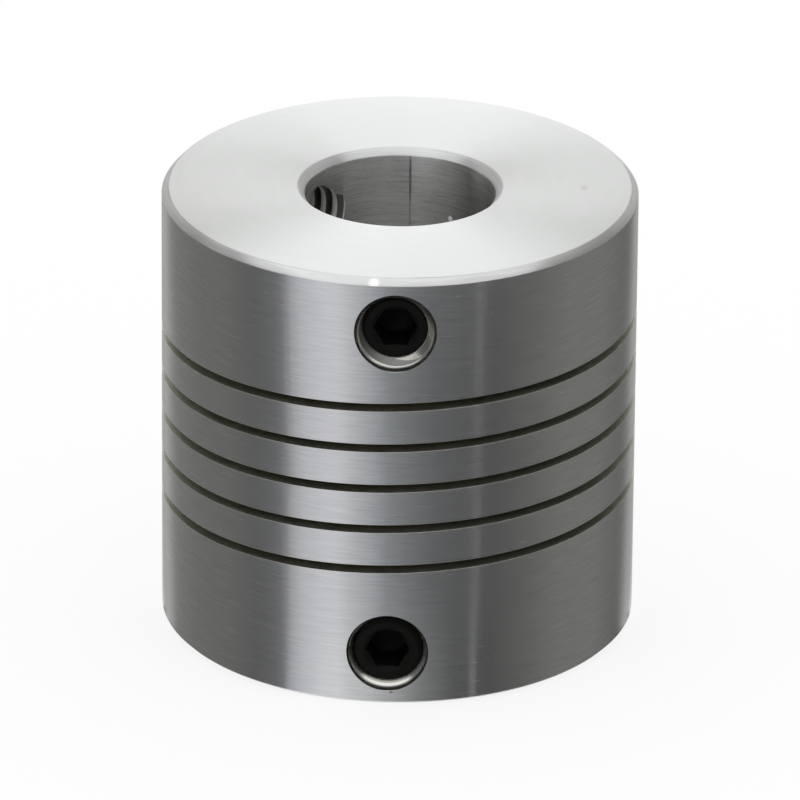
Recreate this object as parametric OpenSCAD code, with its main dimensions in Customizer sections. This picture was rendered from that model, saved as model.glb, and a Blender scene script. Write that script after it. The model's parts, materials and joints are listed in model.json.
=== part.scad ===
// Helical beam coupling with set screws.
// A turned body joins two shafts end to end. One helical slot makes its middle a stiff spring,
// and a pair of socket set screws holds each shaft in its hub.
// The bore stands along +Z, the body's lower end face lies at z = 0, and the front screws face -Y.

/* [Body] */
// Outside diameter of the body
outer_d = 25; // [24:0.5:40]
// Length of the body along the bore
body_len = 24.2; // [23.6:0.1:50]
// Width of the chamfers on the two outer edges
edge_chamfer = 0.35; // [0.1:0.05:1]

/* [Bores] */
// Diameter of the bore in each hub
bore_d = 10; // [5:0.5:12]
// Length of the bore in each hub, from the end face
hub_len = 6; // [5:0.1:6]
// Width of the chamfers at the mouths of the bores
bore_chamfer = 0.4; // [0.1:0.05:1]
// Depth of the relief between the hubs, which keeps the coils clear of the shafts
relief_depth = 0.25; // [0.1:0.05:0.5]

/* [Helical slot] */
// Width of the slot
slot_w = 0.45; // [0.3:0.05:1]
// Rise of the slot in one turn
slot_pitch = 2.3; // [1.5:0.1:2.3]
// Turns of the slot, from one end to the other
slot_turns = 5; // [2:0.25:5]
// Angle from the front screws round to the end where the slot starts
slot_start = 128; // [0:1:359]
// Angle over which the slitting saw leaves the metal at each end of the slot
run_out = 50; // [20:5:80]
// How far inside the relief the saw cuts
saw_overrun = 0.4; // [0.2:0.1:1]

/* [Screw holes] */
// Distance of the screws from the end faces
screw_inset = 3; // [2.8:0.1:3.2]
// Angle between the two screws of a hub
screw_spread = 120; // [60:5:180]
// Turn of the lower hub's screws against the upper hub's
lower_turn = -1.4; // [-20:0.1:20]
// Diameter of the hole's mouth
mouth_d = 4.3; // [4.1:0.1:4.6]
// Depth of the mouth's straight wall, above its countersink
mouth_depth = 0.4; // [0.2:0.05:0.6]
// Full angle of the countersink that leads from the mouth to the thread
sink_angle = 100; // [90:5:120]

/* [Set screws] */
// Nominal diameter of the screw's thread
thread_d = 4; // [3:0.5:4]
// Pitch of the screw's thread
thread_pitch = 0.7; // [0.5:0.05:0.8]
// Gap between screw and hole at the mean thread diameter
thread_gap = 0.03; // [0.01:0.01:0.05]
// Length of a set screw
screw_len = 5; // [4:0.5:5]
// Depth of the upper screws below the surface
upper_recess = 0.7; // [0:0.1:1]
// Depth of the lower screws below the surface
lower_recess = 0.4; // [0:0.1:1]
// Width of the hexagon socket across its flats
socket_w = 2; // [1.3:0.1:2]
// Depth of the hexagon socket
socket_depth = 2; // [1.5:0.1:2.2]
// Diameter of the bevelled mouth of the socket
socket_mouth_d = 2.5; // [2.4:0.05:2.8]
// Diameter of the drilled hole that the socket was pressed into
socket_drill_d = 1.9; // [1.2:0.1:1.9]
// Width of the bevel round the socket end of a screw
screw_bevel = 0.2; // [0.05:0.05:0.4]
// Diameter of the cup point's biting edge
cup_d = 2.2; // [1.4:0.1:2.4]
// Depth of the hollow in the cup point
cup_depth = 0.6; // [0.2:0.1:0.8]

/* [Hidden] */
$fn = 96;

// room by which a cutting shape passes the surface that it cuts
pass = 1;

outer_r = outer_d / 2;
bore_r = bore_d / 2;
relief_r = bore_r + relief_depth;

// a screw and its hole meet at the thread's mean diameter, which in a metric thread lies
// three eighths of the height of its sharp triangle inside the nominal one on each side
thread_triangle_h = thread_pitch / 2 / tan(30);
thread_mean_d = thread_d - 2 * 3 / 8 * thread_triangle_h;
hole_d = thread_mean_d + 2 * thread_gap;

// a drilled bottom is a cone of 118 degrees
drill_half_angle = 59;

front = -90;
slot_angle = 360 * slot_turns;
slot_low_z = (body_len - slot_pitch * slot_turns) / 2;
// radius of the slot's floor where it is cut right through
saw_reach = relief_r - saw_overrun;
// height above the surface at which the floor's arc ends
saw_clear = 0.3;
// sections of the slot in one full turn, and in the arc at each end
turn_sections = 40;
end_sections = 8;

// Each screw as [height, angle, depth below the surface]
screw_places = [
    for (upper = [true, false])
        for (side = [0, 1])
            [
                upper ? body_len - screw_inset : screw_inset,
                front - side * screw_spread + (upper ? 0 : lower_turn),
                upper ? upper_recess : lower_recess
            ]
];

// Radius of the slot's floor on the saw's arc: at 0 degrees cut through, at 90 above the surface
function slot_floor(arc) =
    saw_reach + (outer_r + saw_clear - saw_reach) * (1 - cos(arc));

// The places along the slot where its section is drawn, each as [angle along it, floor radius]
slot_stations =
    let (
        arc_step = 90 / end_sections,
        arcs = [for (i = [1 : end_sections]) i * arc_step],
        full_angle = slot_angle - 2 * run_out,
        full_count = ceil(full_angle / 360 * turn_sections)
    )
    concat(
        [for (i = [end_sections - 1 : -1 : 0]) [run_out * (1 - sin(arcs[i])), slot_floor(arcs[i])]],
        [for (i = [0 : full_count]) [run_out + i * full_angle / full_count, saw_reach]],
        [for (arc = arcs) [slot_angle - run_out * (1 - sin(arc)), slot_floor(arc)]]
    );

// The four corners of the slot's section at a station
function slot_section(station) =
    let (
        turn = front + slot_start + station[0],
        z = slot_low_z + slot_pitch * station[0] / 360,
        high = outer_r + pass
    )
    [
        for (corner = [[station[1], -1], [high, -1], [high, 1], [station[1], 1]])
            [corner[0] * cos(turn), corner[0] * sin(turn), z + corner[1] * slot_w / 2]
    ];

// One turned profile, spun: outer edges, end faces, hub bores and the relief between them
module turned_blank() {
    rotate_extrude()
        polygon([
            [bore_r + bore_chamfer, 0],
            [outer_r - edge_chamfer, 0],
            [outer_r, edge_chamfer],
            [outer_r, body_len - edge_chamfer],
            [outer_r - edge_chamfer, body_len],
            [bore_r + bore_chamfer, body_len],
            [bore_r, body_len - bore_chamfer],
            [bore_r, body_len - hub_len],
            [relief_r, body_len - hub_len - relief_depth],
            [relief_r, hub_len + relief_depth],
            [bore_r, hub_len],
            [bore_r, bore_chamfer]
        ]);
}

// The path of the slitting saw, a flat-sided cut swept along the helix
module slot_cut() {
    count = len(slot_stations) - 1;
    points = [for (station = slot_stations) each slot_section(station)];
    walls = [
        for (i = [0 : count - 1])
            for (k = [0 : 3])
                let (a = 4 * i + k, b = 4 * i + (k + 1) % 4)
                each [[a, b, a + 4], [b, b + 4, a + 4]]
    ];
    first_end = [3, 2, 1, 0];
    last_end = [for (k = [0 : 3]) 4 * count + k];
    polyhedron(points, concat(walls, [first_end, last_end]));
}

// Sets children along a screw's own line: its +Z points out through the wall, from the surface
module at_screw(place) {
    translate([0, 0, place[0]])
        rotate([0, 0, place[1]])
            translate([outer_r, 0, 0])
                rotate([0, 90, 0])
                    children();
}

// A tapped hole from the surface into the bore, with a wider mouth that ends in a countersink
module screw_hole() {
    sink_depth = (mouth_d - hole_d) / 2 / tan(sink_angle / 2);
    rotate_extrude()
        polygon([
            [0, -outer_r],
            [hole_d / 2, -outer_r],
            [hole_d / 2, -mouth_depth - sink_depth],
            [mouth_d / 2, -mouth_depth],
            [mouth_d / 2, pass],
            [0, pass]
        ]);
}

// A set screw below z = 0, with its socket at the top and its cup point at the bottom
module set_screw() {
    mean_r = thread_mean_d / 2;
    point_bevel = mean_r - cup_d / 2;
    socket_corners = socket_w / cos(30);
    drill_point = socket_drill_d / 2 / tan(drill_half_angle);
    difference() {
        rotate_extrude()
            polygon([
                [0, 0],
                [mean_r - screw_bevel, 0],
                [mean_r, -screw_bevel],
                [mean_r, -screw_len + point_bevel],
                [cup_d / 2, -screw_len],
                [0, -screw_len + cup_depth]
            ]);
        translate([0, 0, -socket_depth])
            rotate([0, 0, 30])
                cylinder(d = socket_corners, h = socket_depth + pass, $fn = 6);
        translate([0, 0, -socket_depth - drill_point])
            cylinder(d1 = 0, d2 = socket_drill_d, h = drill_point);
        translate([0, 0, -socket_mouth_d / 2])
            cylinder(d1 = 0, d2 = socket_mouth_d, h = socket_mouth_d / 2);
    }
}

module coupling_body() {
    color("#c3c5c7")
        difference() {
            turned_blank();
            slot_cut();
            for (place = screw_places)
                at_screw(place)
                    screw_hole();
        }
}

module set_screws() {
    color("#242427")
        for (place = screw_places)
            at_screw(place)
                translate([0, 0, -place[2]])
                    set_screw();
}

coupling_body();
set_screws();
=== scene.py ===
# %% [markdown]
# # A helical beam coupling
# This coupling joins two shafts end to end. It is one bar of aluminium: bored through, sawn along a
# helix so that its middle becomes a stiff spring, and tapped for two set screws in each hub.
# The lesson makes it in the order of the workshop: turn the blank, saw the slot, tap the holes,
# screw in the set screws, then finish the surfaces and light them.
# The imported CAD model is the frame. Every new piece has to fit inside its box.

# %% Load the frame
import json
import math

import bpy
from mathutils import Matrix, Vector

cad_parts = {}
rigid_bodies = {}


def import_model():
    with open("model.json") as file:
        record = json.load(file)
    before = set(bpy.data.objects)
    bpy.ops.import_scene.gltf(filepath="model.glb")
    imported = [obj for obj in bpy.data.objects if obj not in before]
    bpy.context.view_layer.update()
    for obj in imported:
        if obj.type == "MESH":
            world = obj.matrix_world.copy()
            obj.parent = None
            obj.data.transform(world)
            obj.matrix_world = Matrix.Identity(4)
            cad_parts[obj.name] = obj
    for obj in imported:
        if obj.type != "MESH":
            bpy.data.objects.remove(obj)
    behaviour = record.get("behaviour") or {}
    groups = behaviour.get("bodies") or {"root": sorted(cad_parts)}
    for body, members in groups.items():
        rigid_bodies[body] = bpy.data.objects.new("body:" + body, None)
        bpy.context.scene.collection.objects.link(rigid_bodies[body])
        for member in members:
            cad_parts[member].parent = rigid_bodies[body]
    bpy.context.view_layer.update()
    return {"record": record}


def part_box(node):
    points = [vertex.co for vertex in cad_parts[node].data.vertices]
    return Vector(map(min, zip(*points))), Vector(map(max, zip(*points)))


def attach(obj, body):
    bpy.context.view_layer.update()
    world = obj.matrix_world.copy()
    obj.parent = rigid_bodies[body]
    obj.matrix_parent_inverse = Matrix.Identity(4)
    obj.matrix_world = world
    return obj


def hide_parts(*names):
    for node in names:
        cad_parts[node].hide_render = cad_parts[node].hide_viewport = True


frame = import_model()

# %% [markdown]
# ## Sizes
# Blender works in metres here, but merge distances and bevels are easier to judge in millimetres.
# So each piece is modelled with one unit as a millimetre, and shrunk once when it is finished.
# The outside sizes and the bore come from the frame; the small features repeat the CAD's sizes.

# %% Read the main sizes
MM = 0.001

body_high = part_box("coupling_body")[1]
outer_r = round(body_high[0] / MM, 3)
body_len = round(body_high[2] / MM, 3)
mounts = {mount["name"]: mount for mount in frame["record"]["mounts"]}
bore_r = mounts["upper_bore"]["dims"]["r_mm"]
print(f"outside radius {outer_r} mm, bore radius {bore_r} mm, length {body_len} mm")

# %% [markdown]
# ## The turned blank
# A lathe cuts every surface of the blank at one distance from the axis, so half of its section says
# it all. A cylinder primitive with holes would need a bevel on each edge. Drawing the half section
# and spinning it is closer to the lathe: chamfers, end faces and the relief come in one go.
# The section starts as a plane that is merged to one vertex, and grows by extruding that vertex.

# %% Draw a section
def deselect_all():
    if bpy.context.mode != "OBJECT":
        bpy.ops.object.mode_set(mode="OBJECT")
    bpy.ops.object.select_all(action="DESELECT")


def draw_section(name, points, closed=True):
    """Extrude a vertex through the points, each (x, z) in millimetres, and stay in edit mode."""
    deselect_all()
    bpy.ops.mesh.primitive_plane_add(size=1)
    section = bpy.context.object
    section.name = name
    bpy.ops.object.mode_set(mode="EDIT")
    bpy.ops.mesh.merge(type="CENTER")
    bpy.ops.transform.translate(value=(points[0][0], 0, points[0][1]))
    for (x0, z0), (x1, z1) in zip(points, points[1:]):
        bpy.ops.mesh.extrude_vertices_move(
            TRANSFORM_OT_translate={"value": (x1 - x0, 0, z1 - z0)}
        )
    bpy.ops.mesh.select_all(action="SELECT")
    if closed:
        bpy.ops.mesh.edge_face_add()
    return section


edge_chamfer = 0.35
bore_chamfer = 0.4
hub_len = 6
relief_depth = 0.25
relief_r = bore_r + relief_depth
lower_half = [
    (relief_r, hub_len + relief_depth),
    (bore_r, hub_len),
    (bore_r, bore_chamfer),
    (bore_r + bore_chamfer, 0),
    (outer_r - edge_chamfer, 0),
    (outer_r, edge_chamfer),
]
upper_half = [(x, body_len - z) for x, z in reversed(lower_half)]
section_points = lower_half + upper_half
blank = draw_section("helical_body", section_points)
print("section points:", len(section_points))

# %% [markdown]
# No edge on real metal is perfectly sharp. A vertex bevel of a few hundredths of a millimetre rounds
# each corner of the section, so that each edge of the blank later shows as a thin line.
# The face only served the bevel. Its rim alone is spun, so that no wall is left inside the metal.

# %% Round the corners and spin
edge_round = 0.045
steps_per_turn = 360
weld = 1e-4


def spin_section(steps):
    """Spin the section's rim round Z into a closed skin with its faces outwards."""
    bpy.ops.mesh.delete(type="ONLY_FACE")
    bpy.ops.mesh.select_all(action="SELECT")
    bpy.ops.mesh.spin(steps=steps, angle=math.tau, center=(0, 0, 0), axis=(0, 0, 1))
    bpy.ops.mesh.select_all(action="SELECT")
    bpy.ops.mesh.remove_doubles(threshold=weld)
    bpy.ops.mesh.normals_make_consistent(inside=False)
    bpy.ops.object.mode_set(mode="OBJECT")


bpy.ops.mesh.bevel(affect="VERTICES", offset=edge_round, segments=2)
spin_section(steps_per_turn)
print("blank:", len(blank.data.polygons), "faces")

# %% [markdown]
# ## The helical slot
# On the real coupling a thin slitting saw follows the turning bar, and leaves one slot that winds
# five times round the middle. Bending a box along a helix would twist it. The Screw modifier keeps
# the saw's section upright while it turns and climbs, just as the saw does.
# The section flares above the surface, so the slot comes out with a tiny chamfer on both lips.

# %% Sweep the saw's path
slot_w = 0.45
slot_pitch = 2.3
slot_turns = 5
slot_start = math.radians(38)
slot_low_z = (body_len - slot_pitch * slot_turns) / 2
saw_overrun = 0.4
saw_reach = relief_r - saw_overrun
lip_break = 0.006
saw_pass = 0.35

half_w = slot_w / 2
flare_w = half_w + lip_break + saw_pass
saw = draw_section(
    "saw_path",
    [
        (saw_reach, -half_w),
        (outer_r - lip_break, -half_w),
        (outer_r + saw_pass, -flare_w),
        (outer_r + saw_pass, flare_w),
        (outer_r - lip_break, half_w),
        (saw_reach, half_w),
    ],
)
bpy.ops.mesh.delete(type="ONLY_FACE")
bpy.ops.object.mode_set(mode="OBJECT")
saw.rotation_euler.z = slot_start
saw.location.z = slot_low_z
sweep = saw.modifiers.new("helix", "SCREW")
sweep.angle = slot_turns * math.tau
sweep.screw_offset = slot_turns * slot_pitch
sweep.steps = sweep.render_steps = slot_turns * steps_per_turn
sweep.use_smooth_shade = False
bpy.ops.object.modifier_apply(modifier=sweep.name)
bpy.ops.object.transform_apply(location=True, rotation=True, scale=True)
print("saw path:", len(saw.data.vertices), "vertices, z up to",
      round(max(v.co.z for v in saw.data.vertices), 3))

# %% [markdown]
# At each end the saw doesn't stop dead: it lifts out of the metal along an arc. So the floor of the
# path rises over the last fifty degrees. Each vertex knows its place along the helix from its height
# and its angle, and is pushed out to the floor there if it lies deeper.

# %% Lift the saw out at both ends
run_out = 50
saw_clear = 0.3
shoulder = 0.005
slot_angle = 360 * slot_turns


def place_along_slot(point):
    """Degrees along the helix from its lower end."""
    by_height = (point.z - slot_low_z) / slot_pitch * 360
    by_angle = math.degrees(math.atan2(point.y, point.x) - slot_start)
    return by_angle + 360 * round((by_height - by_angle) / 360)


def floor_radius(along):
    """Radius of the slot's floor: cut through, or on the arc of the lifting saw."""
    left = max(0, min(along, slot_angle - along))
    arc = math.asin(max(0, 1 - left / run_out))
    return saw_reach + (outer_r + saw_clear - saw_reach) * (1 - math.cos(arc))


lifted = 0
for vertex in saw.data.vertices:
    radius = math.hypot(vertex.co.x, vertex.co.y)
    low = floor_radius(place_along_slot(vertex.co))
    if radius > saw_reach + weld:
        low = min(low + shoulder, outer_r + saw_pass - shoulder)
    if radius < low - weld:
        vertex.co.x *= low / radius
        vertex.co.y *= low / radius
        lifted += 1
bpy.ops.object.mode_set(mode="EDIT")
bpy.ops.mesh.select_all(action="SELECT")
bpy.ops.mesh.fill_holes(sides=0)
bpy.ops.mesh.normals_make_consistent(inside=False)
bpy.ops.object.mode_set(mode="OBJECT")
print("vertices lifted at the ends:", lifted)

# %% [markdown]
# ## Thread
# The set screws are M4. A metric thread is a ridge of sixty degrees with flat tips, which climbs one
# pitch in each turn. Drawing one pitch of its outline and sweeping it with the Screw modifier makes
# a threaded rod: after the merge each turn grows out of the one before. Bisect trims both ends flat.
# Two rods are needed: a tap that cuts the holes, and a slimmer one for the screws themselves, with
# a small gap on all flanks so that no screw touches its hole.

# %% Sweep a threaded rod
thread_pitch = 0.7
flank_r = 1.7725
flank_slope = math.tan(math.radians(30))
thread_steps = 48


def threaded_rod(name, root_r, crest_r, spare, bottom, top):
    """A closed rod along Z with an M4 thread, each flank moved out by spare."""
    def half_ridge(radius):
        return thread_pitch / 4 - (radius - flank_r) * flank_slope + spare

    middle = thread_pitch / 2
    rod = draw_section(
        name,
        [
            (root_r, 0),
            (root_r, middle - half_ridge(root_r)),
            (crest_r, middle - half_ridge(crest_r)),
            (crest_r, middle + half_ridge(crest_r)),
            (root_r, middle + half_ridge(root_r)),
            (root_r, thread_pitch),
        ],
        closed=False,
    )
    bpy.ops.object.mode_set(mode="OBJECT")
    first_turn = math.floor(bottom / thread_pitch) - 1
    turns = math.ceil(top / thread_pitch) - first_turn + 1
    rod.location.z = first_turn * thread_pitch
    sweep = rod.modifiers.new("thread", "SCREW")
    sweep.screw_offset = thread_pitch
    sweep.iterations = turns
    sweep.steps = sweep.render_steps = thread_steps
    sweep.use_smooth_shade = False
    bpy.ops.object.modifier_apply(modifier=sweep.name)
    bpy.ops.object.transform_apply(location=True, rotation=True, scale=True)
    bpy.ops.object.mode_set(mode="EDIT")
    bpy.ops.mesh.select_all(action="SELECT")
    bpy.ops.mesh.remove_doubles(threshold=weld)
    for height, normal in ((bottom, -1), (top, 1)):
        bpy.ops.mesh.select_all(action="SELECT")
        bpy.ops.mesh.bisect(
            plane_co=(0, 0, height), plane_no=(0, 0, normal), use_fill=True, clear_outer=True
        )
    bpy.ops.mesh.select_all(action="SELECT")
    bpy.ops.mesh.normals_make_consistent(inside=False)
    bpy.ops.object.mode_set(mode="OBJECT")
    return rod


flank_gap = 0.015
tap_root_r = 1.68
tap_crest_r = 2.02
tap_top = 2
screw_root_r = 1.6
screw_crest_r = 1.97
screw_len = 5
spare_end = 1
tap = threaded_rod("tap", tap_root_r, tap_crest_r, flank_gap, -outer_r, tap_top)
screw_rod = threaded_rod(
    "screw_thread", screw_root_r, screw_crest_r, -flank_gap, -screw_len - spare_end, spare_end
)
print("tap:", len(tap.data.polygons), "faces; screw thread:", len(screw_rod.data.polygons), "faces")

# %% [markdown]
# ## The set screw
# A set screw has no head: only thread, a hexagon socket at one end and a cup point at the other.
# The bar is turned to a bevel at the socket and to a cone at the point before it is threaded, so
# the thread fades out at both ends. Here the threaded rod is intersected with that turned bar.

# %% Turn the screw's bar and thread it
screw_mean_r = flank_r
screw_bevel = 0.2
cup_r = 1.1
cup_depth = 0.6
envelope_r = 2.1
bevel_grow = envelope_r - screw_mean_r
tool_steps = 96


def select_only(obj):
    """Make an object the only selected one, and the active one."""
    deselect_all()
    bpy.context.view_layer.objects.active = obj
    obj.select_set(True)


def boolean(target, tool, operation):
    """Apply a Boolean of the tool on the target, and remove the tool."""
    select_only(target)
    cut = target.modifiers.new(operation.lower(), "BOOLEAN")
    cut.operation = operation
    cut.solver = "MANIFOLD"
    cut.object = tool
    bpy.ops.object.modifier_apply(modifier=cut.name)
    bpy.data.objects.remove(tool)


screw = screw_rod
screw.name = "set_screw"
turned_bar = draw_section(
    "turned_bar",
    [
        (0, 0),
        (screw_mean_r - screw_bevel, 0),
        (envelope_r, -screw_bevel - bevel_grow),
        (envelope_r, -screw_len + envelope_r - cup_r),
        (cup_r, -screw_len),
        (0, -screw_len + cup_depth),
    ],
)
spin_section(tool_steps)
boolean(screw, turned_bar, "INTERSECT")
print("threaded bar:", len(screw.data.polygons), "faces")

# %% [markdown]
# The socket is drilled first and then pressed to a hexagon, which leaves the drill's cone at its
# bottom and a small bevel at its mouth. Three primitives do it: a hexagonal prism and two cones.
# A six-sided cylinder has two corners on its Y axis, and in place that axis lies across the front.

# %% Press the hexagon socket
socket_w = 2
socket_depth = 2
socket_mouth_r = 1.25
drill_r = 0.95
drill_half_angle = math.radians(59)
drill_point = drill_r / math.tan(drill_half_angle)
room = 1
cone_over = 0.1
cone_sides = 64

deselect_all()
bpy.ops.mesh.primitive_cylinder_add(
    vertices=6,
    radius=socket_w / 2 / math.cos(math.radians(30)),
    depth=socket_depth + room,
    location=(0, 0, (room - socket_depth) / 2),
)
hexagon = bpy.context.object
boolean(screw, hexagon, "DIFFERENCE")
for name, radius, height, top in (
    ("drill_cone", drill_r, drill_point, -socket_depth),
    ("mouth_bevel", socket_mouth_r, socket_mouth_r, 0),
):
    deselect_all()
    bpy.ops.mesh.primitive_cone_add(
        vertices=cone_sides,
        radius1=0,
        radius2=radius * (1 + cone_over / height),
        depth=height + cone_over,
        location=(0, 0, top - (height - cone_over) / 2),
    )
    cone = bpy.context.object
    cone.name = name
    boolean(screw, cone, "DIFFERENCE")
print("set screw:", len(screw.data.polygons), "faces, corners",
      [tuple(round(c, 3) for c in corner) for corner in (screw.bound_box[0], screw.bound_box[6])])

# %% [markdown]
# ## The four places
# Each hub has two screws a third of a turn apart. A place is one matrix: from the screw's own frame,
# with its socket up, to the side of the body. The lower pair sits a little off the upper pair's line
# and less deep, as it does when each shaft is clamped by hand. Each screw is also turned on by some
# sixths of a turn. That leaves its hexagon as it was, but sets where the thread starts in the
# countersink, and puts a crest of the back hole's thread right at the bore's wall.

# %% Work out the places
screw_inset = 3
screw_spread = math.radians(120)
front = math.radians(-90)
lower_turn = math.radians(-1.4)
upper_recess = 0.7
lower_recess = 0.4
sixth_turn = math.radians(60)
places = {}
for hub, height, turn, recess in (
    ("upper", body_len - screw_inset, 0, upper_recess),
    ("lower", screw_inset, lower_turn, lower_recess),
):
    for side, spread, sixths in (("front", 0, 1), ("back", -screw_spread, 3)):
        on_surface = (
            Matrix.Translation((0, 0, height))
            @ Matrix.Rotation(front + spread + turn, 4, "Z")
            @ Matrix.Translation((outer_r, 0, 0))
            @ Matrix.Rotation(math.radians(90), 4, "Y")
        )
        turned_on = Matrix.Rotation(sixths * sixth_turn, 4, "Z")
        sunk = Matrix.Translation((0, 0, -recess)) @ turned_on
        places[f"{hub}_{side}"] = (on_surface, on_surface @ sunk)
print("places:", list(places))

# %% [markdown]
# ## Cutting the blank
# Every tool leaves its own finish, so every face keeps a finish number from before the cuts on: the
# blank's side, ends, bore and chamfers by where they lie, and a cutter's faces by their slope. The
# saw goes first, then at each place the mouth of the hole, and the tap. The mouth is a short wall,
# a small fillet as the drill's worn corner leaves it, and a countersink of a hundred degrees, out of
# which the thread starts as a thin edge. A tap copy takes the same matrix as its screw, so that
# the two threads stay in step at any depth.

# %% Saw, countersink and tap
finish_names = [
    "turned_side", "faced_end", "bored_wall", "chamfer", "edge_line", "bore_chamfer", "bore_rim",
    "sawn_slot", "dull_metal", "countersink", "mouth_lip", "tapped_thread",
]
TURNED, FACED, BORED, CHAMFER, EDGE, BORE_CHAMFER, BORE_RIM = range(7)
# one finish is painted shade on the walls of the holes' mouths and on the thread's flanks
SAWN, RECESS_SHADE, SINK, LIP, TAPPED = range(7, len(finish_names))
finishes = [bpy.data.materials.new(name) for name in finish_names]
for finish in finishes:
    finish.use_nodes = True

# the share of Z in a face's normal above which it counts as an end face, an edge, a sink or a slant
end_lean = 0.99
edge_lean = 0.75
sink_lean = 0.73
slant_lean = 0.3


def blank_finish(face):
    """The finish of a face of the blank, by its slope and by its distance from the axis."""
    in_bore = math.hypot(face.center.x, face.center.y) < bore_r + bore_chamfer + edge_round
    edge, chamfer, wall = (BORE_RIM, BORE_CHAMFER, BORED) if in_bore else (EDGE, CHAMFER, TURNED)
    for lean, finish in ((end_lean, FACED), (edge_lean, edge), (slant_lean, chamfer)):
        if abs(face.normal.z) > lean:
            return finish
    return wall


def mouth_finish(face):
    """The finish of a face of the mouth's cutter: countersink, lip or wall."""
    for lean, finish in ((sink_lean, SINK), (slant_lean, LIP)):
        if -face.normal.z > lean:
            return finish
    # the wall of the mouth gets the painted shade
    return RECESS_SHADE


def number_faces(obj, finish_of):
    """Give an object all the finishes, and each of its faces the one that is right for it."""
    for material in finishes:
        obj.data.materials.append(material)
    for face in obj.data.polygons:
        face.material_index = finish_of(face)


def copy_at(obj, name, matrix):
    """A copy with its own mesh, with the matrix applied to it."""
    select_only(obj)
    bpy.ops.object.duplicate()
    copy = bpy.context.object
    copy.name = name
    copy.matrix_world = matrix
    bpy.ops.object.transform_apply(location=True, rotation=True, scale=True)
    return copy


mouth_r = 2.15
mouth_depth = 0.4
sink_slope = math.tan(math.radians(40))
fillet_start = 0.22
fillet_w = 0.1
rim_break = 0.012
mouth_flare = 0.3
sink_r = mouth_r - 2 * fillet_w
sink_top = -mouth_depth - fillet_w * sink_slope
mouth = draw_section(
    "mouth",
    [
        (0, sink_top - sink_r * sink_slope),
        (sink_r, sink_top),
        (mouth_r - fillet_w, -mouth_depth + fillet_w * sink_slope / 2),
        (mouth_r - fillet_w / 8, -fillet_start),
        (mouth_r, -rim_break),
        (mouth_r + rim_break + mouth_flare, mouth_flare),
        (0, mouth_flare),
    ],
)
spin_section(tool_steps)

number_faces(blank, blank_finish)
number_faces(saw, lambda face: SAWN)
number_faces(mouth, mouth_finish)
# the thread's flanks get the painted shade; its crests and roots a pale tone, a painted highlight
number_faces(tap, lambda face: TAPPED if abs(face.normal.z) < slant_lean else RECESS_SHADE)
boolean(blank, saw, "DIFFERENCE")
for name, (on_surface, screwed_in) in places.items():
    boolean(blank, copy_at(mouth, f"{name}_mouth", on_surface), "DIFFERENCE")
    boolean(blank, copy_at(tap, f"{name}_tap", screwed_in), "DIFFERENCE")
for tool in (mouth, tap):
    bpy.data.objects.remove(tool)
print("body:", len(blank.data.polygons), "faces")

# %% [markdown]
# ## Screwing in
# The one finished screw is copied to its four places. Then every piece shrinks from millimetres to
# metres, gets smooth shading up to thirty degrees, and is bound to the frame: it rides on the only
# body and stands for its CAD node.

# %% Place the screws and bind all pieces
pieces = {"helical_body": (blank, "coupling_body", "turned_aluminium")}
for name, (on_surface, screwed_in) in places.items():
    pieces[f"{name}_screw"] = (
        copy_at(screw, f"{name}_screw", screwed_in), "set_screws", "black_steel"
    )
bpy.data.objects.remove(screw)

for name, (piece, cad_node, slot) in pieces.items():
    select_only(piece)
    piece.scale = (MM, MM, MM)
    bpy.ops.object.transform_apply(location=True, rotation=True, scale=True)
    bpy.ops.object.shade_smooth_by_angle(angle=math.radians(30))
    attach(piece, "root")
    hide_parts(cad_node)
    print(name, "has", len(piece.data.polygons), "faces")

# %% [markdown]
# ## Turned aluminium
# A lathe tool leaves fine circular lines on every surface it cuts. They spread a reflection across
# the lines and hardly along them: that makes the upright bands on the side and the bright fans on
# the end face. Drawing each line would cost millions of faces. The Principled shader's anisotropy
# does it, with a tangent that runs round the axis, and a stretched noise adds the coarser streaks.
# The noise reads Object coordinates. One mix of height and radius serves side, face and bore alike.
# A few marks of use are small ellipsoids of another tone: a shaft's scratch in the bore and some
# specks. A white matt spot at the front of the upper chamfer is a painted highlight, and a small
# white matt spot sits in the bore.

# %% Finish the turned skin
# shares of height and radius in the mix that the noise reads across the tool's lines
height_share = 1.3
radius_share = 0.8
# length of the finest lines, as a multiple of their width
line_stretch = 30


def set_inputs(tree, made, inputs):
    """Set or link inputs of a node."""
    for name, value in inputs.items():
        if isinstance(value, bpy.types.NodeSocket):
            tree.links.new(value, made.inputs[name])
        else:
            made.inputs[name].default_value = value


def node(tree, kind, inputs=None, **settings):
    """Add a shader node, set its options, and set or link its inputs."""
    made = tree.nodes.new(f"ShaderNode{kind}")
    for name, value in settings.items():
        setattr(made, name, value)
    set_inputs(tree, made, inputs or {})
    return made


def math_node(tree, operation, first, second):
    return node(tree, "Math", {0: first, 1: second}, operation=operation).outputs[0]


def here(tree):
    """The shaded point in Object coordinates, in metres."""
    return node(tree, "TexCoord").outputs["Object"]


def axis_distance(tree):
    """The shaded point's distance from the coupling's axis."""
    x, y, _ = node(tree, "SeparateXYZ", {0: here(tree)}).outputs
    flat = node(tree, "CombineXYZ", {"X": x, "Y": y}).outputs[0]
    return node(tree, "VectorMath", {0: flat}, operation="LENGTH").outputs["Value"]


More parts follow.
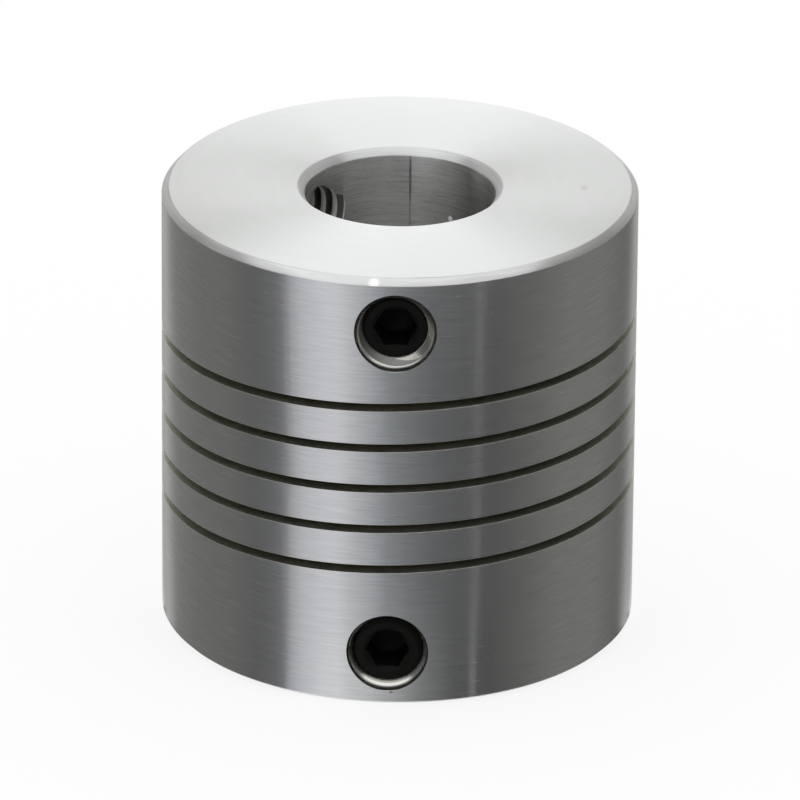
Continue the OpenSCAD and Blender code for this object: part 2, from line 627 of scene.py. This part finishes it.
def streaks(tree, length_mm, width_mm):
    """Noise drawn out along the tool's circular path, from 0 to 1."""
    x, y, z = node(tree, "SeparateXYZ", {0: here(tree)}).outputs
    across = math_node(
        tree,
        "ADD",
        math_node(tree, "MULTIPLY", z, height_share),
        math_node(tree, "MULTIPLY", axis_distance(tree), radius_share),
    )
    along = 1 / (length_mm * MM)
    stretched = node(
        tree,
        "CombineXYZ",
        {
            "X": math_node(tree, "MULTIPLY", x, along),
            "Y": math_node(tree, "MULTIPLY", y, along),
            "Z": math_node(tree, "MULTIPLY", across, 1 / (width_mm * MM)),
        },
    ).outputs[0]
    return node(tree, "TexNoise", {"Vector": stretched, "Scale": 1, "Detail": 3}).outputs[0]


def spread(tree, value, low, high):
    """A value from 0 to 1 spread between two levels."""
    return node(
        tree, "MapRange", {"Value": value, "To Min": low, "To Max": high}
    ).outputs["Result"]


def between(tree, value, none_at, all_at):
    """0 where the value is at none_at, 1 where it is at all_at, and evenly rising on the way."""
    return node(
        tree, "MapRange", {"Value": value, "From Min": none_at, "From Max": all_at}
    ).outputs["Result"]


def mixed(tree, share, first, second):
    """One colour or the other, by a share from 0 to 1."""
    mix = node(tree, "Mix", {0: share}, data_type="RGBA")
    for socket, colour in ((mix.inputs[6], first), (mix.inputs[7], second)):
        if isinstance(colour, bpy.types.NodeSocket):
            tree.links.new(colour, socket)
        else:
            socket.default_value = (*colour, 1)
    return mix.outputs[2]


def mark(tree, centre_mm, half_size_mm):
    """1 inside a small ellipsoid, 0 outside it, with a soft edge."""
    off = node(
        tree, "VectorMath", {0: here(tree), 1: [c * MM for c in centre_mm]}, operation="SUBTRACT"
    ).outputs[0]
    scaled = node(
        tree, "VectorMath", {0: off, 1: [s * MM for s in half_size_mm]}, operation="DIVIDE"
    ).outputs[0]
    away = node(tree, "VectorMath", {0: scaled}, operation="LENGTH").outputs["Value"]
    return between(tree, away, 1, 0.5)


def machined(finish, tones, roughness, line_mm, line_height, tone_mm, marks=(), matt_spot=None):
    """Metal with the circular lines of a cutting tool: two tones, a range of roughness, bump."""
    tree = finish.node_tree
    fine = streaks(tree, line_stretch * line_mm, line_mm)
    tone = mixed(tree, spread(tree, streaks(tree, *tone_mm), -0.5, 1.5), *tones)
    for centre_mm, half_size_mm, colour in marks:
        tone = mixed(tree, mark(tree, centre_mm, half_size_mm), tone, colour)
    metallic = 1
    # a white matt spot; on the chamfer it is a painted highlight
    if matt_spot:
        in_spot = mark(tree, *matt_spot)
        tone = mixed(tree, in_spot, tone, (1, 1, 1))
        metallic = spread(tree, in_spot, 1, 0)
    round_axis = node(
        tree, "VectorMath", {0: (0, 0, 1), 1: here(tree)}, operation="CROSS_PRODUCT"
    ).outputs[0]
    bump = node(tree, "Bump", {"Strength": 1, "Distance": line_height, "Height": fine})
    set_inputs(
        tree,
        tree.nodes["Principled BSDF"],
        {
            "Base Color": tone,
            "Metallic": metallic,
            "Roughness": spread(tree, fine, *roughness),
            "Anisotropic": 0.95,
            "Anisotropic Rotation": 0.25,
            "Tangent": round_axis,
            "Normal": bump.outputs[0],
        },
    )
    print(finish.name, "has", len(tree.nodes), "nodes")


machined(
    finishes[TURNED],
    tones=((0.8, 0.81, 0.81), (0.92, 0.925, 0.925)),
    roughness=(0.2, 0.3),
    line_mm=0.09,
    line_height=8e-7,
    tone_mm=(1.6, 0.13),
    marks=[
        ((-0.08, -outer_r, 0.78), (0.14, 0.3, 0.08), (0.42, 0.42, 0.42)),
        ((-10.7, -6.47, 5.8), (0.1, 0.1, 0.07), (0.55, 0.55, 0.55)),
    ],
)
machined(
    finishes[FACED],
    tones=((0.94, 0.955, 0.945), (0.965, 0.98, 0.97)),
    roughness=(0.34, 0.42),
    line_mm=0.07,
    line_height=1e-6,
    tone_mm=(1.7, 0.35),
    marks=[((9.65, 0.05, body_len), (0.25, 0.4, 0.1), (0.83, 0.84, 0.83))],
)
machined(
    finishes[BORED],
    tones=((0.72, 0.72, 0.71), (0.92, 0.92, 0.91)),
    roughness=(0.22, 0.35),
    line_mm=0.14,
    line_height=4e-6,
    tone_mm=(1.4, 0.16),
    marks=[
        ((0.45, 4.97, 20), (0.07, 0.4, 4), (0.55, 0.55, 0.54)),
        ((0.45, 4.97, 22.6), (0.085, 0.4, 1.8), (0.3, 0.3, 0.3)),
    ],
    matt_spot=((2.6, 4.27, 20.5), (0.16, 0.25, 0.22)),
)
machined(
    finishes[CHAMFER],
    tones=((0.84, 0.85, 0.85), (0.985, 0.99, 0.985)),
    roughness=(0.3, 0.45),
    line_mm=0.06,
    line_height=1e-6,
    tone_mm=(3, 0.07),
    # painted highlight: a white matt spot at the front of the upper chamfer
    matt_spot=((-1.12, -12.35, 24), (0.36, 0.4, 0.4)),
)
machined(
    finishes[EDGE],
    tones=((0.6, 0.61, 0.61), (0.9, 0.905, 0.9)),
    roughness=(0.3, 0.4),
    line_mm=0.06,
    line_height=1e-6,
    tone_mm=(4, 0.2),
)
machined(
    finishes[BORE_CHAMFER],
    tones=((0.74, 0.75, 0.75), (0.97, 0.98, 0.975)),
    roughness=(0.3, 0.45),
    line_mm=0.06,
    line_height=1e-6,
    tone_mm=(3, 0.07),
)
machined(
    finishes[BORE_RIM],
    tones=((0.95, 0.96, 0.955), (0.99, 0.995, 0.99)),
    roughness=(0.3, 0.4),
    line_mm=0.06,
    line_height=1e-6,
    tone_mm=(4, 0.2),
)

# %% [markdown]
# ## Sawn walls and tapped threads
# The saw leaves rough walls. Their tone falls towards the axis, a painted shade that darkens deeper
# in the slot. The drilled wall of a hole's mouth and the thread's flanks get a dark tone, painted
# shade. The countersink is smooth, its lip is bright, and the thread's crests are a pale surface,
# matt and metallic only in part: a painted highlight. In such narrow gaps most of the tone comes
# from what the metal mirrors, so plain noise is enough.

# %% Finish the slot and the holes
def plain_metal(finish, tone, roughness, grain_mm, metallic=1):
    """Metal without a direction: a tone, and a range of roughness in a noise of that grain."""
    tree = finish.node_tree
    set_inputs(
        tree,
        tree.nodes["Principled BSDF"],
        {
            "Base Color": tone,
            "Metallic": metallic,
            "Roughness": spread(tree, streaks(tree, *grain_mm), *roughness),
        },
    )


# painted shade: the slot's walls darken from the skin towards the axis, deeper in the slot
deep_slot_shade, slot_shade_depth = (0.66, 0.65, 0.46), 1.1
slot_skin_tone, slot_skin_depth = (0.9, 0.89, 0.82), 0.5
tree = finishes[SAWN].node_tree
unshaded_share = between(
    tree, axis_distance(tree), (outer_r - slot_shade_depth) * MM, (outer_r - slot_skin_depth) * MM
)
plain_metal(finishes[SAWN], mixed(tree, unshaded_share, deep_slot_shade, slot_skin_tone), (0.3, 0.5), (2, 0.1))
# painted shade: a dark tone for the walls of the holes' mouths and the thread's flanks
plain_metal(finishes[RECESS_SHADE], (0.3, 0.3, 0.285, 1), (0.3, 0.5), (1, 0.1))
plain_metal(finishes[SINK], (0.54, 0.53, 0.48, 1), (0.18, 0.32), (1, 0.1))
plain_metal(finishes[LIP], (0.86, 0.85, 0.81, 1), (0.18, 0.32), (1, 0.1))
# painted highlight: the thread's crests and roots are pale and partly matt, a lit copy of the metal
plain_metal(finishes[TAPPED], (0.95, 0.94, 0.91, 1), (0.6, 0.8), (1, 0.2), metallic=0.25)
print("sawn, drilled and tapped finishes done")

# %% [markdown]
# ## Black oxide
# The screws are steel blackened in a hot bath. The layer is thin, nearly black, and a little oily,
# so it keeps a soft gloss. Small noise in the roughness keeps the sockets from looking like plastic.

# %% Finish the screws
black_oxide = bpy.data.materials.new("black_oxide")
black_oxide.use_nodes = True
tree = black_oxide.node_tree
grain = node(tree, "TexNoise", {"Vector": here(tree), "Scale": 4000, "Detail": 3}).outputs[0]
set_inputs(
    tree,
    tree.nodes["Principled BSDF"],
    {
        "Base Color": (0.0065, 0.006, 0.0055, 1),
        "Metallic": 0,
        "Specular IOR Level": 0.06,
        "Roughness": spread(tree, grain, 0.3, 0.45),
        "Normal": node(tree, "Bump", {"Strength": 0.4, "Distance": 5e-6, "Height": grain}).outputs[0],
    },
)
for piece, cad_node, slot in pieces.values():
    if slot == "black_steel":
        piece.data.materials.clear()
        piece.data.materials.append(black_oxide)
print("screws blackened")

# %% [markdown]
# ## Floor and light
# The picture is lit by a plain white world, so a colour shows as it is written. The floor is white
# too. Part of its white is its own glow, which keeps the shadow under the coupling soft and pale.
# Reflections see less of that glow, so that the metal near the floor mirrors its own shade.

# %% Lay the floor
deselect_all()
bpy.ops.mesh.primitive_plane_add(size=6)
floor = bpy.context.object
floor.name = "floor"

floor_white = bpy.data.materials.new("floor_white")
floor_white.use_nodes = True
tree = floor_white.node_tree
path = node(tree, "LightPath")
glow_seen = 0.8
glow_mirrored = 0.35
glow_share = math_node(
    tree,
    "MAXIMUM",
    math_node(tree, "MULTIPLY", path.outputs["Is Camera Ray"], glow_seen),
    math_node(
        tree,
        "MULTIPLY",
        math_node(tree, "MAXIMUM", path.outputs["Is Glossy Ray"], path.outputs["Is Transmission Ray"]),
        glow_mirrored,
    ),
)
white_floor = node(
    tree,
    "MixShader",
    {
        0: glow_share,
        1: node(tree, "BsdfDiffuse", {"Color": (1, 1, 1, 1)}).outputs[0],
        2: node(tree, "Emission", {"Color": (1, 1, 1, 1), "Strength": 1}).outputs[0],
    },
)
tree.links.new(white_floor.outputs[0], tree.nodes["Material Output"].inputs["Surface"])
tree.nodes.remove(tree.nodes["Principled BSDF"])
floor.data.materials.append(floor_white)

world = bpy.data.worlds.new("white_studio")
bpy.context.scene.world = world
world.use_nodes = True
world.node_tree.nodes["Background"].inputs["Color"].default_value = (1, 1, 1, 1)
world.node_tree.nodes["Background"].inputs["Strength"].default_value = 1
print("floor and world are white")

# %% [markdown]
# Bare metal is a mirror: in an all-white room it would vanish. A photographer stands cards round it.
# Here they are one apron of cloth that only reflections see. It spreads from the coupling's foot
# over the floor and rises towards its rim. A straight fold of it that starts at an angle from the
# front runs outwards at twice that angle, which is where the side of a cylinder mirrors it. So each
# fold shows as one upright band. A grid primitive is rolled into the apron vertex by vertex, and its
# UV map keeps the angle. The levels say what stands where: a lit window at the front left, dark
# cards beside it and grey ones at the sides. Behind, the end face mirrors the rim: two tall grey
# cards with a white gap between them make its bright fans before and behind the bore. The cards
# are paler towards the rim, and rise steeply at the left and right, where the upper chamfer mirrors
# them. The apron's hem lies under the lower chamfer, which mirrors it, and is bright in front.

# %% Spread the apron
# azimuth from the front, rise of the cloth there, and its level
apron_levels = [
    (-174, 4, (0.97, 0.97, 0.97)),
    (-169, 42, (0.3, 0.3, 0.295)),
    (-158, 42, (0.47, 0.47, 0.46)),
    (-149, 42, (0.36, 0.36, 0.35)),
    (-140, 40, (0.2, 0.2, 0.193)),
    (-115, 60, (0.16, 0.162, 0.153)),
    (-88, 38, (0.137, 0.138, 0.132)),
    (-72, 33, (0.102, 0.102, 0.102)),
    (-60, 33, (0.13, 0.131, 0.135)),
    (-56, 33, (0.18, 0.181, 0.187)),
    (-52, 33, (0.4, 0.4, 0.42)),
    (-46, 33, (0.52, 0.52, 0.545)),
    (-35, 33, (0.6, 0.6, 0.63)),
    (-28, 33, (0.6, 0.6, 0.625)),
    (-22, 33, (0.48, 0.485, 0.5)),
    (-10, 33, (0.315, 0.325, 0.34)),
    (-4, 33, (0.215, 0.225, 0.235)),
    (7, 33, (0.152, 0.157, 0.161)),
    (19, 33, (0.105, 0.106, 0.109)),
    (37.5, 33, (0.078, 0.078, 0.078)),
    (38.5, 33, (0.17, 0.17, 0.17)),
    (40.5, 33, (0.17, 0.17, 0.17)),
    (41.5, 33, (0.074, 0.074, 0.074)),
    (50, 33, (0.075, 0.075, 0.074)),
    (69, 33, (0.119, 0.119, 0.112)),
    (88, 42, (0.17, 0.171, 0.159)),
    (115, 68, (0.178, 0.18, 0.17)),
    (144, 40, (0.13, 0.132, 0.126)),
    (150, 42, (0.23, 0.23, 0.225)),
    (158, 42, (0.44, 0.44, 0.43)),
    (169, 42, (0.33, 0.33, 0.325)),
    (174, 4, (0.97, 0.97, 0.97)),
]
foot_gap = 0.2
hem_gap = 0.12
apron_foot = (outer_r + foot_gap) * MM
apron_hem = (outer_r - edge_chamfer + hem_gap) * MM
apron_lift = 0.1 * MM
apron_reach = 0.6


def apron_rise(azimuth):
    """The rise at an azimuth, in a straight line between its neighbours in the list."""
    for (low, low_rise, _), (high, high_rise, _) in zip(apron_levels, apron_levels[1:]):
        if low <= azimuth <= high:
            return low_rise + (high_rise - low_rise) * (azimuth - low) / (high - low)
    return apron_levels[0][1]


deselect_all()
bpy.ops.mesh.primitive_grid_add(x_subdivisions=steps_per_turn, y_subdivisions=2, size=1)
apron = bpy.context.object
apron.name = "apron"
for vertex in apron.data.vertices:
    angle = vertex.co.x * math.pi
    foot = apron_hem if vertex.co.y < -0.1 else apron_foot
    out = max(0, 2 * vertex.co.y) * apron_reach
    rise = math.tan(math.radians(apron_rise(math.degrees(2 * angle))))
    vertex.co = (
        foot * math.sin(angle) + out * math.sin(2 * angle),
        -foot * math.cos(angle) - out * math.cos(2 * angle),
        apron_lift + out * rise,
    )
apron.visible_camera = False
apron.visible_diffuse = False
apron.visible_transmission = False
apron.visible_shadow = False


def azimuth_ramp(tree, across, colours):
    """A colour ramp across the apron's UV map, from pairs of an azimuth and a colour."""
    shares = [(azimuth + 180) / 360 for azimuth, colour in colours]
    ramp = node(tree, "ValToRGB", {0: across})
    stops = ramp.color_ramp.elements
    stops.remove(stops[-1])
    stops[0].position = shares[0]
    for share in shares[1:]:
        stops.new(share)
    for stop, (azimuth, colour) in zip(stops, colours):
        stop.color = (*colour, 1)
    return ramp.outputs[0]


# where the cards turn pale: shares of a turn from the front, and shares of the UV map outwards
side_begins, side_is_full = 90 / 360, 110 / 360
gap_begins, card_is_full = 174 / 360, 171 / 360
rim_begins, rim_is_full = 0.518, 0.53
pale_card = (0.46, 0.46, 0.45)

apron_cloth = bpy.data.materials.new("apron_cloth")
apron_cloth.use_nodes = True
tree = apron_cloth.node_tree
across, outwards, _ = node(tree, "SeparateXYZ", {0: node(tree, "TexCoord").outputs["UV"]}).outputs
from_front = math_node(tree, "ABSOLUTE", math_node(tree, "SUBTRACT", across, 0.5), 0)
pale_share = between(tree, outwards, rim_begins, rim_is_full)
for begins, is_full in ((side_begins, side_is_full), (gap_begins, card_is_full)):
    pale_share = math_node(tree, "MULTIPLY", pale_share, between(tree, from_front, begins, is_full))
levels = azimuth_ramp(tree, across, [(azimuth, level) for azimuth, rise, level in apron_levels])
cloth = mixed(tree, pale_share, levels, pale_card)

# azimuth from the front, and the share of the bright hem at the apron's foot there
hem_shares = [(-48, 0), (-26, 0.35), (-2, 0.27), (13, 0.09), (21, 0.05), (30, 0)]
hem_ends, hem_is_full = 0.5042, 0.501
hem_share = math_node(
    tree,
    "MULTIPLY",
    azimuth_ramp(tree, across, [(azimuth, (share, share, share)) for azimuth, share in hem_shares]),
    between(tree, outwards, hem_ends, hem_is_full),
)
bright_hem = (0.85, 0.85, 0.84)
glow = node(
    tree, "Emission", {"Color": mixed(tree, hem_share, cloth, bright_hem), "Strength": 1}
)
tree.links.new(glow.outputs[0], tree.nodes["Material Output"].inputs["Surface"])
tree.nodes.remove(tree.nodes["Principled BSDF"])
apron.data.materials.append(apron_cloth)
print("apron:", len(apron_levels), "levels round the coupling")

# %% [markdown]
# ## Camera
# The photograph was taken from afar with a long lens, which keeps the sides almost parallel. The
# camera stands some degrees above the coupling, a touch to the right of the front screws, and is
# tilted by less than half a degree.

# %% Set up the camera
camera_away = 0.5894
camera_up = math.radians(25.17)
camera_round = math.radians(0.87)
camera_down = math.radians(24.115)
camera_aside = math.radians(-0.0083)
camera_roll = math.radians(0.451)
camera_lens = 497.8

camera_data = bpy.data.cameras.new("camera")
camera_data.lens = camera_lens
camera = bpy.data.objects.new("camera", camera_data)
bpy.context.scene.collection.objects.link(camera)
camera.matrix_world = (
    Matrix.Rotation(camera_round, 4, "Z")
    @ Matrix.Translation(
        (0, -camera_away * math.cos(camera_up), camera_away * math.sin(camera_up))
    )
    @ Matrix.Rotation(camera_aside, 4, "Z")
    @ Matrix.Rotation(math.radians(90) - camera_down, 4, "X")
    @ Matrix.Rotation(camera_roll, 4, "Z")
)
bpy.context.scene.camera = camera
bpy.context.scene.view_settings.view_transform = "Standard"
print("camera at", [round(c, 4) for c in camera.location])
